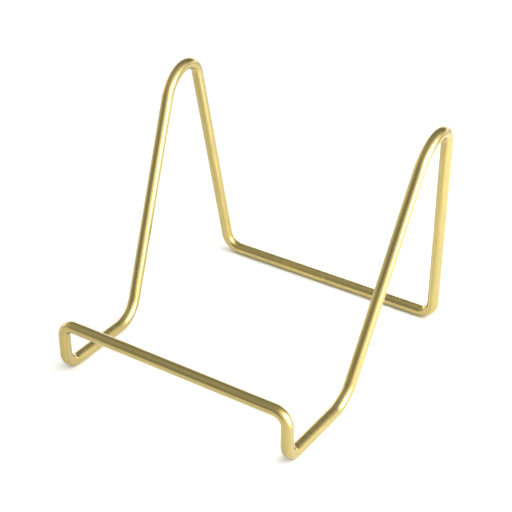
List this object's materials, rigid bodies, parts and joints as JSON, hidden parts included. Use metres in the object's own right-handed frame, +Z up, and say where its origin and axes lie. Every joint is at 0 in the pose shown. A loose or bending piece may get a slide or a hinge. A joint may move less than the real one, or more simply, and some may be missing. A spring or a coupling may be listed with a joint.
{
  "type": "photo album stand",
  "caption": "Open wire easel that holds a photo album or book leaning back: raised front lip, shelf arms, uprights with rounded crowns, rear legs and a rear bar.",
  "frame": {"origin": "on the table, under the middle of the stand's footprint", "axes": "+X to the viewer's right along the lip bar, +Y from the lip towards the rear bar, +Z up; the stand is the same either side of X = 0"},
  "size_m": [0.1532, 0.148, 0.1242],
  "materials": {
    "polished_brass": "polished, with fine drawing lines along the wire",
    "ground_weld": "ground flush across the wire and plated over"
  },
  "bodies": {
    "root": {"lip_bar": "polished_brass", "left_lip_corner": "polished_brass", "right_lip_corner": "polished_brass", "left_riser": "polished_brass", "right_riser": "polished_brass", "left_front_foot_bend": "polished_brass", "right_front_foot_bend": "polished_brass", "left_shelf_arm": "polished_brass", "right_shelf_arm": "polished_brass", "left_elbow": "polished_brass", "right_elbow": "polished_brass", "left_upright": "polished_brass", "right_upright": "polished_brass", "left_crown": "polished_brass", "right_crown": "polished_brass", "left_rear_leg": "polished_brass", "right_rear_leg": "polished_brass", "left_rear_corner": "polished_brass", "right_rear_corner": "polished_brass", "left_rear_bar": "polished_brass", "right_rear_bar": "polished_brass", "butt_weld": "ground_weld"}
  },
  "joints": []
}
